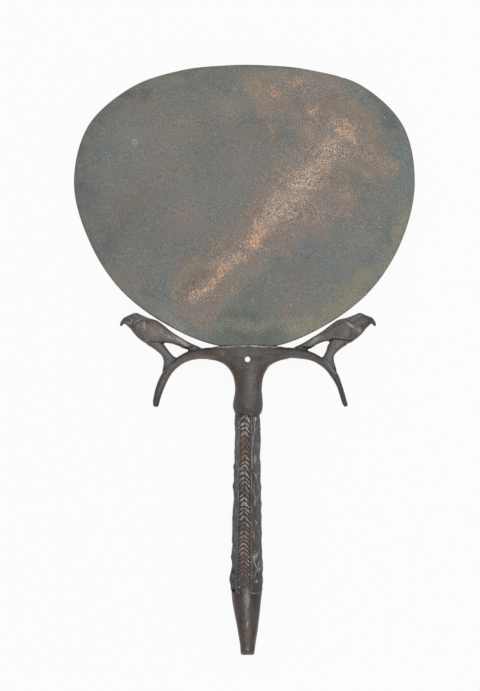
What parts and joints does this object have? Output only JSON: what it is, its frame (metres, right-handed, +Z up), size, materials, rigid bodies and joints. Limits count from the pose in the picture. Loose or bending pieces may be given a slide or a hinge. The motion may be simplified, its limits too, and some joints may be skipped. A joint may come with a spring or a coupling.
{
  "type": "bronze mirror",
  "caption": "Ancient hand mirror lying on its back: a broad bronze disc in a cast papyrus handle with two falcons on drooping arms and a braided grip.",
  "frame": {"origin": "middle of the mirror's bounding box seen from above, on the surface that it lies on", "axes": "+Y from the handle's cut end to the disc's top edge, +Z up out of the mirror's face, +X to the right as seen from above"},
  "size_m": [0.1402, 0.2424, 0.0146],
  "materials": {
    "disc_bronze": "dull grey-green patinated bronze with brown mottling and a coppery diagonal patch",
    "handle_bronze": "dark brown-grey patinated cast bronze with a soft sheen on its edges"
  },
  "bodies": {
    "root": {"mirror_disc": "disc_bronze", "handle": "handle_bronze"}
  },
  "joints": []
}
